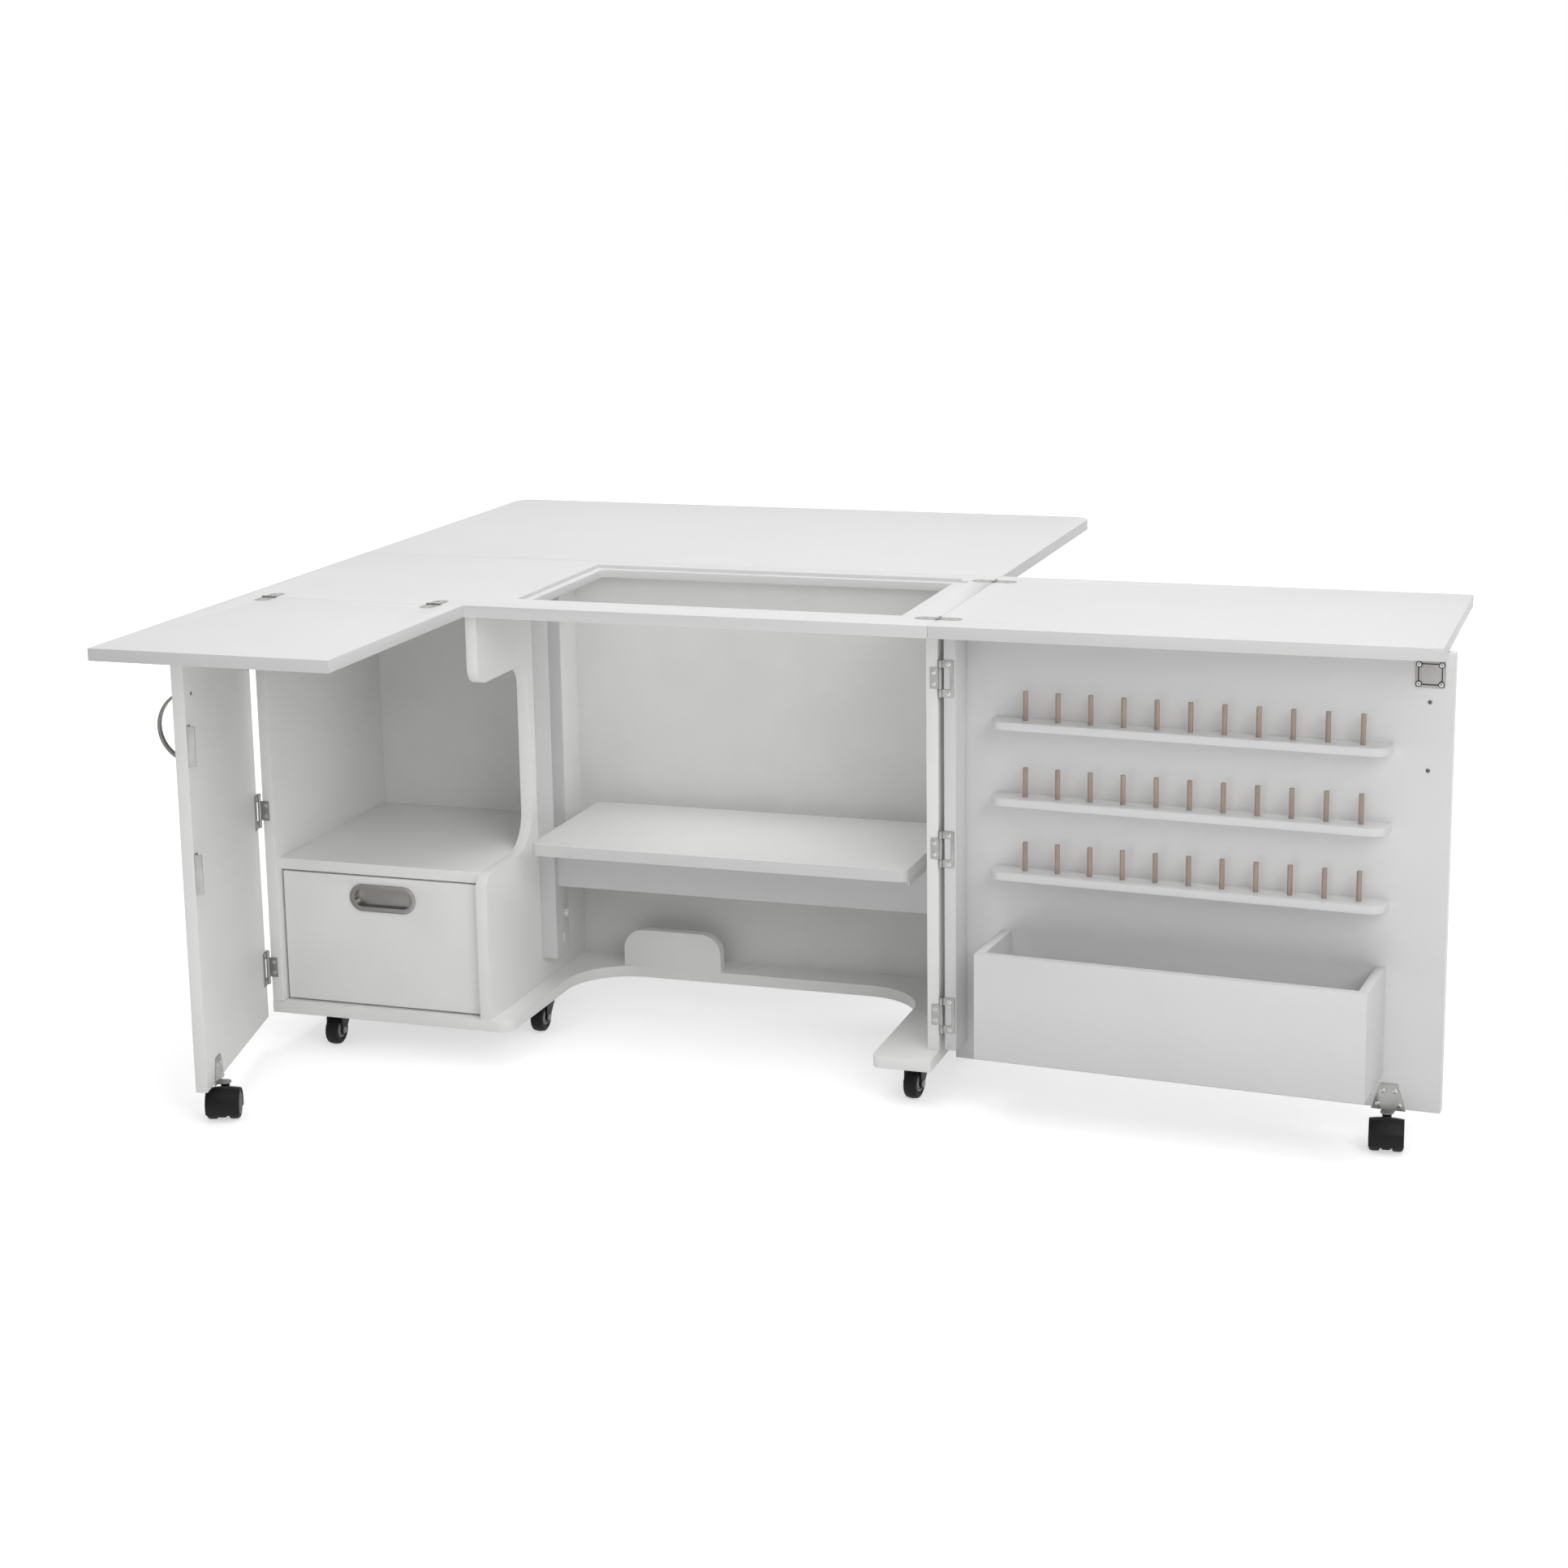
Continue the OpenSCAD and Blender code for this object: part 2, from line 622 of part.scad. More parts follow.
module twin_wheels() for (side = [-1, 1])
    translate([side * (twin_gap + twin_w) / 2, twin_trail, twin_d / 2]) rotate([0, 90, 0]) difference() {
        cylinder(r = twin_d / 2, h = twin_w - 1, center = true);
        cylinder(r = 4.05, h = twin_w + 2, center = true);
    }

module at_stem(side) translate([stem_x[side], stem_y, 0]) rotate([0, 0, stem_turn[side]]) children();

module left_door_caster_bracket() color("silver") on_left_door() caster_bracket(stem_x[0]);
module left_door_caster_fork() color("black") on_left_door() at_stem(0) twin_fork();
module left_door_caster_wheels() color("dimgray") on_left_door() at_stem(0) twin_wheels();
module right_door_caster_bracket() color("silver") on_right_door() caster_bracket(stem_x[1]);
module right_door_caster_fork() color("black") on_right_door() at_stem(1) twin_fork();
module right_door_caster_wheels() color("dimgray") on_right_door() at_stem(1) twin_wheels();

// ---------- base casters ----------
trail = 20;
wheel_w = 22;
cheek = 2.5;
// Swivel axis of each base caster and the direction in which its wheel trails
base_casters = [[94, 97, -90], [401, 252, -90], [1105, 102, -96], [80, 385, 200], [1075, 385, -20]];

module at_caster(i) place() translate([base_casters[i][0], base_casters[i][1], 0])
    rotate([0, 0, base_casters[i][2]]) children();

// A flared block over the wheel, two cheeks and the axle; the swivel axis is at the origin
module caster_fork() {
    top = base_z - 5.9;
    difference() {
        translate([-16, 0, 0]) rotate([90, 0, 90]) linear_extrude(46)
            polygon([[-24, top], [24, top], [16, 51], [-16, 51]]);
        translate([0, 0, 40]) cylinder(r = 5.06, h = 30);
    }
    for (side = [-1, 1]) translate([0, side * (wheel_w / 2 + 1.2) + (side > 0 ? cheek : 0), 0])
        rotate([90, 0, 0]) linear_extrude(cheek) {
            polygon([[-12, 52], [26, 52], [trail + 8, wheel_d / 2], [trail - 8, wheel_d / 2]]);
            translate([trail, wheel_d / 2]) circle(8);
        }
    translate([trail, 0, wheel_d / 2]) rotate([90, 0, 0])
        cylinder(r = 4, h = wheel_w + 4 * cheek, center = true);
}

module caster_wheel() translate([trail, 0, wheel_d / 2]) rotate([90, 0, 0]) difference() {
    cylinder(r = wheel_d / 2, h = wheel_w, center = true);
    cylinder(r = 4.05, h = wheel_w + 2, center = true);
    for (side = [-1, 1]) translate([0, 0, side * wheel_w / 2]) rotate_extrude()
        translate([9, -3]) square([5, 6]);
}

module caster_plates() color("black") for (i = [0:len(base_casters) - 1]) at_caster(i) {
    translate([-24, -24, base_z - 2.5]) cube([48, 48, 2.5]);
    translate([0, 0, base_z - 5.5]) cylinder(r = 22, h = 3 + tiny);
    translate([0, 0, 53]) cylinder(r = 5, h = base_z - 55);
}

module front_left_caster_fork() color("black") at_caster(0) caster_fork();
module front_left_caster_wheel() color("dimgray") at_caster(0) caster_wheel();
module middle_caster_fork() color("black") at_caster(1) caster_fork();
module middle_caster_wheel() color("dimgray") at_caster(1) caster_wheel();
module front_right_caster_fork() color("black") at_caster(2) caster_fork();
module front_right_caster_wheel() color("dimgray") at_caster(2) caster_wheel();
module rear_left_caster_fork() color("black") at_caster(3) caster_fork();
module rear_left_caster_wheel() color("dimgray") at_caster(3) caster_wheel();
module rear_right_caster_fork() color("black") at_caster(4) caster_fork();
module rear_right_caster_wheel() color("dimgray") at_caster(4) caster_wheel();

// ---------- bumpers ----------
// Rubber door stops under the front edge of the main top
module rubber_bumpers() color("dimgray") place() for (x = [422, 1090])
    translate([x, 30, top_under - 5]) cylinder(r1 = 5, r2 = 7, h = 5);

base_board();
left_side_panel();
divider_panel();
right_side_panel();
back_panel();
main_top();
fixed_shelf();
stop_board();
lift_channels();
cabinet_drawer_runners();
fixed_hinge_plates();
hinge_pins();
stay_wall_brackets();
caster_plates();
rubber_bumpers();
drawer_front();
drawer_box();
drawer_bottom();
drawer_pull();
drawer_runners();
left_leaf();
left_leaf_hinge_plates();
right_leaf();
right_leaf_hinge_plates();
rear_leaf();
rear_leaf_hinge_plates();
stay_leaf_brackets();
stay_lower_arms();
stay_upper_arms();
left_door();
left_door_hinge_leaves();
left_door_handle();
left_door_catch_plates();
left_door_caster_bracket();
left_door_caster_fork();
left_door_caster_wheels();
right_door();
right_door_spacer_strip();
right_door_hinge_leaves();
spool_shelves();
spool_pins();
bin_front();
bin_ends_and_bottom();
latch_plate();
right_door_handle();
right_door_caster_bracket();
right_door_caster_fork();
right_door_caster_wheels();
lift_platform();
lift_carriage();
front_left_caster_fork();
front_left_caster_wheel();
middle_caster_fork();
middle_caster_wheel();
front_right_caster_fork();
front_right_caster_wheel();
rear_left_caster_fork();
rear_left_caster_wheel();
rear_right_caster_fork();
rear_right_caster_wheel();
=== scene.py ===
"""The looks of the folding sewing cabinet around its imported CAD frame."""

import json
import math

import bmesh
import bpy
from mathutils import Matrix, Vector


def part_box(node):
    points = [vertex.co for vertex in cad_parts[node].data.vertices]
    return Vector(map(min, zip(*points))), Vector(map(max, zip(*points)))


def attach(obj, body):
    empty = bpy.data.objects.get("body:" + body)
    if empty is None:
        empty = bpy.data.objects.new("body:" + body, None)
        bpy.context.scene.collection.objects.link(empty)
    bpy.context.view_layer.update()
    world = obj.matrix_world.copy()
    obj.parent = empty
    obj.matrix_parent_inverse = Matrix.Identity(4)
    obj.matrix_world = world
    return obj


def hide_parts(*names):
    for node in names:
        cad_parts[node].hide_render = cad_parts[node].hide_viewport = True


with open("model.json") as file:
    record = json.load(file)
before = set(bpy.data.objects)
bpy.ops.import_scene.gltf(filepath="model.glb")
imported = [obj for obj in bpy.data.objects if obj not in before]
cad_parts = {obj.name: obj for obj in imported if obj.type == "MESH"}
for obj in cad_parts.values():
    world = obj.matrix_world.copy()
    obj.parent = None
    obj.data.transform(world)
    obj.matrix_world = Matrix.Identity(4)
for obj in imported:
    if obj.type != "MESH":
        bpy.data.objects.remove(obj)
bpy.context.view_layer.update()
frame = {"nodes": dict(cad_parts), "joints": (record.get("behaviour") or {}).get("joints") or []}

MM = 0.001
NODES = frame["nodes"]
JOINTS = {joint["name"]: joint for joint in frame["joints"]}
TOP_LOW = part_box("main_top")[0]


def at(x, y, z):
    """A point from millimetres right of, behind and above the worktop's front left corner on the floor."""
    return Vector((TOP_LOW[0] + x * MM, TOP_LOW[1] + y * MM, z * MM))


def move(x, y, z):
    """A matrix that shifts by millimetres."""
    return Matrix.Translation((x * MM, y * MM, z * MM))


def facing(point, direction, spin=0.0):
    """A matrix whose Z axis points along direction, at a point."""
    turn = Vector(direction).to_track_quat("Z", "Y").to_matrix().to_4x4()
    return Matrix.Translation(point) @ turn @ Matrix.Rotation(spin, 4, "Z")


def door_turn(joint_name):
    """Turns what is placed on a shut door to where that door stands open at rest."""
    joint = JOINTS[joint_name]
    hinge = Vector(joint["pos_m"])
    angle = -math.radians(joint["range_deg"][1]) * joint["axis"][2]
    return Matrix.Translation(hinge) @ Matrix.Rotation(angle, 4, "Z") @ Matrix.Translation(-hinge)


LEFT_DOOR = door_turn("left_door_swing")
RIGHT_DOOR = door_turn("right_door_swing")


# ---------- camera ----------
def make_camera():
    """Stands where the cabinet was seen from: to its right, well in front, a little above."""
    azimuth, elevation, roll = math.radians(18.25), math.radians(12.27), math.radians(-0.85)
    forward = Vector((-math.sin(azimuth) * math.cos(elevation),
                      math.cos(azimuth) * math.cos(elevation), -math.sin(elevation)))
    right = Vector((math.cos(azimuth), math.sin(azimuth), 0))
    up = right.cross(forward)
    level_right = right * math.cos(roll) + up * math.sin(roll)
    level_up = up * math.cos(roll) - right * math.sin(roll)
    camera = bpy.data.cameras.new("camera")
    camera.sensor_width = 36
    camera.lens = 66.413478
    camera.shift_x = -0.005305383
    camera.shift_y = -0.04267081
    camera.clip_end = 100
    eye = bpy.data.objects.new("camera", camera)
    turn = Matrix((level_right, level_up, -forward)).transposed().to_4x4()
    eye.matrix_world = Matrix.Translation(at(2288.46, -4101.4, 1563.51)) @ turn
    bpy.context.scene.collection.objects.link(eye)
    bpy.context.scene.camera = eye


make_camera()


# ---------- materials ----------
ROUGH_SPREAD = 0.08


def surface(name, colour, rough, metal=0.0, shade=0.03, cells=60.0, bump=0.05, stretch=(1, 1, 1),
            height=0.0002, fine=8.0, specular=0.5):
    """A procedural finish: colour and roughness wander over the surface, and a fine relief breaks the gloss.

    shade is how far the colour wanders, cells its number of patches per metre, fine how much smaller the
    relief's grain is, bump and height (metres) how strong the relief is.
    """
    material = bpy.data.materials.new(name)
    material.use_nodes = True
    tree = material.node_tree
    shader = tree.nodes["Principled BSDF"]
    shader.inputs["Metallic"].default_value = metal
    shader.inputs["Specular IOR Level"].default_value = specular
    where = tree.nodes.new("ShaderNodeTexCoord")
    scale = tree.nodes.new("ShaderNodeMapping")
    scale.inputs["Scale"].default_value = stretch
    tree.links.new(where.outputs["Object"], scale.inputs["Vector"])

    def noise(size, detail):
        node = tree.nodes.new("ShaderNodeTexNoise")
        node.inputs["Scale"].default_value = size
        node.inputs["Detail"].default_value = detail
        tree.links.new(scale.outputs["Vector"], node.inputs["Vector"])
        return node.outputs["Fac"]

    broad = noise(cells, 4)
    small = noise(cells * fine, 3)
    ramp = tree.nodes.new("ShaderNodeValToRGB")
    low, high = ramp.color_ramp.elements
    low.position, high.position = 0.3, 0.7
    low.color = [c * (1 - shade) for c in colour] + [1]
    high.color = [min(1, c * (1 + shade)) for c in colour] + [1]
    tree.links.new(broad, ramp.inputs["Fac"])
    tree.links.new(ramp.outputs["Color"], shader.inputs["Base Color"])
    spread = tree.nodes.new("ShaderNodeMapRange")
    spread.inputs["To Min"].default_value = max(0.02, rough - ROUGH_SPREAD)
    spread.inputs["To Max"].default_value = min(1, rough + ROUGH_SPREAD)
    tree.links.new(small, spread.inputs["Value"])
    tree.links.new(spread.outputs["Result"], shader.inputs["Roughness"])
    relief = tree.nodes.new("ShaderNodeBump")
    relief.inputs["Strength"].default_value = bump
    relief.inputs["Distance"].default_value = height
    tree.links.new(small, relief.inputs["Height"])
    tree.links.new(relief.outputs["Normal"], shader.inputs["Normal"])
    return material


# The same white laminate in three copies whose brightness stands in for light. The tops' copy is darker, as
# painted shade under the strong overhead light. The right door's copy is a little darker, as painted shade
# for the frontal light. The inner copy is lighter, as painted light for the shaded inside.
TOP_LAMINATE_PAINTED_SHADE = surface("satin_laminate_painted_shade", (0.74, 0.74, 0.737), 0.36, shade=0.012, cells=7, bump=0.12, fine=120,
                   specular=0.15)
DOOR_LAMINATE_PAINTED_SHADE = surface("door_laminate_painted_shade", (0.78, 0.78, 0.78), 0.30, shade=0.012, cells=6, bump=0.10, fine=120)
INNER_LAMINATE_PAINTED_LIGHT = surface("inner_laminate_painted_light", (0.92, 0.92, 0.91), 0.42, shade=0.015, cells=8, bump=0.15,
                         fine=110)
BACKING = surface("white_backing", (0.81, 0.81, 0.80), 0.55, shade=0.02, cells=14, bump=0.25, fine=60)
WHITE_STEEL = surface("white_powder_coat", (0.68, 0.68, 0.68), 0.42, shade=0.01, cells=30, bump=0.3, fine=30)
RUNNER = surface("runner_coat", (0.74, 0.74, 0.71), 0.38, shade=0.02, cells=40, bump=0.25, fine=20)
DARK_NICKEL = surface("dark_nickel", (0.17, 0.16, 0.15), 0.30, 1.0, shade=0.06, cells=90,
                      bump=0.25, stretch=(1, 1, 6), fine=12)
HINGE_STEEL = surface("hinge_nickel", (0.36, 0.36, 0.35), 0.42, 1.0, shade=0.07, cells=80, bump=0.2, fine=10)
PULL_NICKEL = surface("pull_nickel", (0.33, 0.32, 0.31), 0.22, 1.0, shade=0.05, cells=60,
                      bump=0.25, stretch=(8, 1, 1), fine=14)
ZINC = surface("bright_zinc", (0.40, 0.40, 0.39), 0.42, 1.0, shade=0.08, cells=50, bump=0.2, fine=10)
LATCH_ZINC = surface("sanded_zinc", (0.38, 0.37, 0.36), 0.45, 1.0, shade=0.12, cells=700, bump=0.7,
                     fine=3, height=0.0006)
SCREW_STEEL = surface("screw_steel", (0.62, 0.62, 0.61), 0.34, 1.0, shade=0.06, cells=90, bump=0.2, fine=8)
# Near-black metal that stands in for shadow: painted shadow lines around the latch plate's frame and rings
# around its corner posts.
FRAME_PAINTED_SHADOW = surface("frame_painted_shadow_line", (0.05, 0.05, 0.05), 0.45, 1.0, shade=0.1, cells=90, bump=0.2, fine=8)
BLACK_NYLON = surface("black_nylon", (0.005, 0.005, 0.005), 0.42, shade=0.2, cells=60, bump=0.25, fine=14,
                      specular=0.25)
BLACK_STEEL = surface("black_coat", (0.006, 0.006, 0.006), 0.40, shade=0.2, cells=80, bump=0.25, fine=10,
                      specular=0.25)
TREAD = surface("black_tread", (0.005, 0.005, 0.005), 0.55, shade=0.2, cells=90, bump=0.35, fine=9,
                specular=0.25)
HUB_GREY = surface("hub_grey", (0.38, 0.38, 0.38), 0.36, shade=0.04, cells=70, bump=0.15)
BIRCH = surface("birch_dowel", (0.41, 0.32, 0.26), 0.55, shade=0.16, cells=260, bump=0.4,
                stretch=(1, 1, 0.06), fine=4)
RUBBER = surface("soft_rubber", (0.02, 0.02, 0.02), 0.6, shade=0.15, cells=90, bump=0.3)
WHITE_NYLON = surface("white_nylon", (0.82, 0.82, 0.81), 0.32, shade=0.01, cells=80, bump=0.1)


# ---------- CAD nodes: finishes and eased edges ----------
def ease(node_name, width):
    """Rounds the edges of a CAD node a little, on top of its own mesh. The width is in millimetres."""
    node = NODES[node_name]
    weld = node.modifiers.new("weld", "WELD")
    weld.merge_threshold = 0.00001
    bevel = node.modifiers.new("eased_edges", "BEVEL")
    bevel.width = width * MM
    bevel.segments = 3
    bevel.limit_method = "ANGLE"
    bevel.angle_limit = math.radians(40)
    shade_smooth(node.data)


def shade_smooth(mesh):
    """Smooth over curves, crisp over edges."""
    for polygon in mesh.polygons:
        polygon.use_smooth = True
    mesh.set_sharp_from_angle(angle=math.radians(28))


def finish_nodes(material, names, width=0.0):
    """Gives CAD nodes a material, and eases their edges by a width in millimetres."""
    for name in names.split():
        data = NODES[name].data
        data.materials.clear()
        data.materials.append(material)
        if width:
            ease(name, width)
        else:
            shade_smooth(data)


# The tops take the darker laminate copy (painted shade), the right door and its strips the middle copy
# (painted shade), and the inner parts the lighter copy (painted light).
finish_nodes(TOP_LAMINATE_PAINTED_SHADE, "main_top left_leaf right_leaf rear_leaf lift_platform", 2.0)
finish_nodes(INNER_LAMINATE_PAINTED_LIGHT, "base_board", 4.0)
finish_nodes(INNER_LAMINATE_PAINTED_LIGHT, "left_side_panel divider_panel right_side_panel fixed_shelf", 1.2)
finish_nodes(DOOR_LAMINATE_PAINTED_SHADE, "right_door", 1.6)
finish_nodes(INNER_LAMINATE_PAINTED_LIGHT, "left_door drawer_front stop_board", 1.6)
finish_nodes(DOOR_LAMINATE_PAINTED_SHADE, "right_door_spacer_strip spool_shelves bin_front bin_ends_and_bottom", 1.2)
finish_nodes(INNER_LAMINATE_PAINTED_LIGHT, "drawer_box", 1.0)
finish_nodes(BACKING, "back_panel drawer_bottom")
finish_nodes(WHITE_STEEL, "lift_channels lift_carriage", 0.8)
finish_nodes(RUNNER, "cabinet_drawer_runners drawer_runners", 0.3)
finish_nodes(HINGE_STEEL, "fixed_hinge_plates left_leaf_hinge_plates right_leaf_hinge_plates "
             "rear_leaf_hinge_plates left_door_hinge_leaves right_door_hinge_leaves", 0.25)
finish_nodes(HINGE_STEEL, "hinge_pins")
finish_nodes(PULL_NICKEL, "drawer_pull", 0.7)
finish_nodes(DARK_NICKEL, "left_door_handle right_door_handle", 1.0)
finish_nodes(ZINC, "stay_wall_brackets stay_leaf_brackets stay_lower_arms stay_upper_arms "
             "left_door_catch_plates left_door_caster_bracket right_door_caster_bracket", 0.4)
finish_nodes(BLACK_STEEL, "caster_plates", 0.5)
finish_nodes(LATCH_ZINC, "latch_plate", 1.2)
finish_nodes(BIRCH, "spool_pins", 0.8)
finish_nodes(RUBBER, "rubber_bumpers", 0.8)


# ---------- pieces made here ----------
class Piece:
    """Gathers parts of one extra piece and makes it ride on its body."""

    def __init__(self, name, body, slot, material):
        self.name, self.body, self.slot, self.material = name, body, slot, material
        self.mesh = bmesh.new()

    def lathe(self, profile, place, steps=32, start=0.0, sweep=360.0):
        """Turns a profile of (radius, height) in millimetres about Z. A part turn has closed ends."""
        whole = sweep >= 360
        count = steps if whole else steps + 1
        rings = []
        for step in range(count):
            angle = math.radians(start + sweep * step / steps)
            ring = []
            for radius, height in profile:
                point = Vector((radius * math.cos(angle), radius * math.sin(angle), height)) * MM
                ring.append(self.mesh.verts.new(place @ point))
            rings.append(ring)
        last = len(profile) - 1
        for step in range(steps):
            one, two = rings[step], rings[(step + 1) % count]
            for k in range(last):
                self.mesh.faces.new((one[k], two[k], two[k + 1], one[k + 1]))
        if not whole:
            self.mesh.faces.new(list(reversed(rings[0][:-1])))
            self.mesh.faces.new(rings[-1][:-1])
        bmesh.ops.remove_doubles(self.mesh, verts=self.mesh.verts, dist=0.000002)

    def prism(self, outline, low, high, place, round_by=0.0):
        """A plate with that outline, in millimetres, whose upper edge is rounded by steps."""
        layers = [(low, 0.0), (high - round_by, 0.0)]
        for step in range(1, 4 if round_by else 1):
            angle = math.radians(30 * step)
            layers.append((high - round_by * (1 - math.sin(angle)), round_by * (1 - math.cos(angle))))
        middle = sum((Vector(p) for p in outline), Vector((0, 0))) / len(outline)
        rings = []
        for height, inset in layers:
            ring = []
            for p in outline:
                out = Vector(p) - middle
                q = middle + out * (1 - inset / max(out.length, 0.001))
                ring.append(self.mesh.verts.new(place @ (Vector((q[0], q[1], height)) * MM)))
            rings.append(ring)
        n = len(outline)
        for one, two in zip(rings, rings[1:]):
            for k in range(n):
                self.mesh.faces.new((one[k], one[(k + 1) % n], two[(k + 1) % n], two[k]))
        self.mesh.faces.new(list(reversed(rings[0])))
        self.mesh.faces.new(rings[-1])

    def screw(self, place, radius=3.5, rise=0.7):
        """A cross-head screw: a low dome with a real cross sunk into it."""
        spokes, shares = 32, (0.12, 0.28, 0.44, 0.56, 0.72, 0.9, 1.0)
        arm, cross_depth = 0.13 * radius, 0.2 * radius
        centre = self.mesh.verts.new(place @ Vector((0, 0, (rise - cross_depth) * MM)))
        rings = []
        for share in shares:
            ring = []
            for k in range(spokes):
                angle = 2 * math.pi * k / spokes
                x, y = share * radius * math.cos(angle), share * radius * math.sin(angle)
                height = rise * math.sqrt(max(0, 1 - 0.97 * share ** 2))
                if share < 0.5 and min(abs(x), abs(y)) < arm:
                    height -= cross_depth
                ring.append(self.mesh.verts.new(place @ (Vector((x, y, height)) * MM)))
            rings.append(ring)
        rim = []
        for k in range(spokes):
            angle = 2 * math.pi * k / spokes
            point = Vector((radius * math.cos(angle), radius * math.sin(angle), -0.05))
            rim.append(self.mesh.verts.new(place @ (point * MM)))
        rings.append(rim)
        for k in range(spokes):
            self.mesh.faces.new((centre, rings[0][k], rings[0][(k + 1) % spokes]))
        for one, two in zip(rings, rings[1:]):
            for k in range(spokes):
                self.mesh.faces.new((one[k], two[k], two[(k + 1) % spokes], one[(k + 1) % spokes]))
        self.mesh.faces.new(list(reversed(rim)))

    def done(self, replaces=()):
        """Makes the mesh an object that rides on the body and stands in for the nodes it replaces."""
        bmesh.ops.recalc_face_normals(self.mesh, faces=self.mesh.faces)
        data = bpy.data.meshes.new(self.name)
        self.mesh.to_mesh(data)
        self.mesh.free()
        data.materials.append(self.material)
        shade_smooth(data)
        piece = bpy.data.objects.new(self.name, data)
        bpy.context.scene.collection.objects.link(piece)
        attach(piece, self.body)
        if replaces:
            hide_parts(*replaces)


def stadium(length, width, steps=12):
    """The outline of a slot with round ends, in millimetres."""
    points = []
    for end in (0, 1):
        for k in range(steps + 1):
            angle = math.pi * (k / steps - 0.5 + end)
            points.append(((length - width) / 2 * (1, -1)[end] + width / 2 * math.cos(angle),
                           width / 2 * math.sin(angle)))
    return points


# ---------- screws ----------
# Millimetres in the worktop's coordinates; the doors' parts are placed as if the doors were shut
HINGE_HEIGHTS = (142, 411, 680)
HANDLE_SCREW_HEIGHTS = (579, 681)
LEFT_AXIS, RIGHT_AXIS = (0.5, 23.5), (1149.5, 75.5)
DOOR_FACE = 21
# Left and right leaves: the seams, the height of the flush plates, their places and their screws' reach
LEAF_SEAM, RIGHT_SEAM, SURFACE = -0.3, 1150.3, 774.8
LEFT_FLUSH, RIGHT_FLUSH, FLUSH_REACH = (53, 343), (63, 410), (13, 27)
# Rear leaf: the hinges, their axis, the underside of their plates and their screws' spacing
REAR_HINGES, REAR_AXIS, REAR_PLATE, REAR_SPACING = (120, 575, 1030), 462.3, 754.5, (-20, 20)
# Folding stays: where they stand and the spacing of their screws
STAYS, STAY_SPACING = (190, 950), (-13, 13)
BASE_CASTERS = ("front_left", "middle", "front_right", "rear_left", "rear_right")
PLATE_SCREW_RADIUS, PLATE_UNDERSIDE = 27.5, 61.5
# Screws of a door's caster bracket: (across from the stem, height)
BRACKET_SCREWS = ((-16, 62.5), (16, 62.5), (-9, 84), (9, 84))


def door_screws(name, body, turn, axis, side, handle_from_axis, stem_from_axis):
    """Screws on a door's inner face. side is 1 for the left door and -1 for the right one."""
    screws = Piece(name + "_hinge_screws", body, "nickel", SCREW_STEEL)
    for height in HINGE_HEIGHTS:
        for end in (-1, 1):
            point = at(axis[0] + side * 12.5, axis[1] - 1, height + end * 23)
            screws.screw(turn @ facing(point, (0, 1, 0), 0.5 + end), 3.6, 0.7)
    screws.done()
    screws = Piece(name + "_handle_screws", body, "nickel", DARK_NICKEL)
    for height in HANDLE_SCREW_HEIGHTS:
        point = at(axis[0] + side * handle_from_axis, DOOR_FACE, height)
        screws.screw(turn @ facing(point, (0, 1, 0), 0.3), 3.2, 1.4)
    screws.done()
    screws = Piece(name + "_bracket_screws", body, "zinc_steel", SCREW_STEEL)
    for across, height in BRACKET_SCREWS:
        point = at(axis[0] + side * stem_from_axis + across, DOOR_FACE + 2, height)
        screws.screw(turn @ facing(point, (0, 1, 0), across), 3.6, 1.2)
    screws.done()


door_screws("left_door", "left_door_body", LEFT_DOOR, LEFT_AXIS, side=1,
            handle_from_axis=345, stem_from_axis=318)
door_screws("right_door", "right_door_body", RIGHT_DOOR, RIGHT_AXIS, side=-1,
            handle_from_axis=732, stem_from_axis=690)


def fixed_screws():
    """Screws of the fixed hinge halves, the caster plates and the wall brackets."""
    screws = Piece("fixed_hinge_screws", "cabinet", "nickel", SCREW_STEEL)
    for axis, side in ((LEFT_AXIS, 1), (RIGHT_AXIS, -1)):
        for height in HINGE_HEIGHTS:
            for end in (-1, 1):
                point = at(axis[0] + side * 10.6, axis[1] + 1, height + end * 9)
                screws.screw(facing(point, (0, -1, 0), end), 3.4, 0.7)
    for x in LEFT_FLUSH:
        for reach in FLUSH_REACH:
            screws.screw(facing(at(x, LEAF_SEAM + reach, SURFACE), (0, 0, 1), reach), 3, 0.3)
    for y in RIGHT_FLUSH:
        for reach in FLUSH_REACH:
            screws.screw(facing(at(RIGHT_SEAM - reach, y, SURFACE), (0, 0, 1), reach), 3, 0.3)
    for x in REAR_HINGES:
        for across in REAR_SPACING:
            screws.screw(facing(at(x + across, REAR_AXIS - 10, REAR_PLATE), (0, 0, -1)), 3, 0.6)
    screws.done()
    screws = Piece("caster_plate_screws", "cabinet", "zinc_steel", ZINC)
    for name in BASE_CASTERS:
        middle = Vector(JOINTS[name + "_caster_turn"]["pos_m"])
        roll = Vector(JOINTS[name + "_caster_roll"]["pos_m"]) - middle
        angle = math.atan2(roll[1], roll[0])
        for quarter in range(4):
            turn = angle + math.pi / 4 + quarter * math.pi / 2
            out = Vector((math.cos(turn), math.sin(turn), 0)) * PLATE_SCREW_RADIUS * MM
            point = Vector((middle[0], middle[1], PLATE_UNDERSIDE * MM)) + out
            screws.screw(facing(point, (0, 0, -1), quarter), 3.4, 1.0)
    screws.done()
    screws = Piece("wall_bracket_screws", "cabinet", "zinc_steel", ZINC)
    for x in STAYS:
        for up in STAY_SPACING:
            screws.screw(facing(at(x - 12, 445, 452.5 + up), (0, 1, 0), up), 3.4, 1.2)
    screws.done()


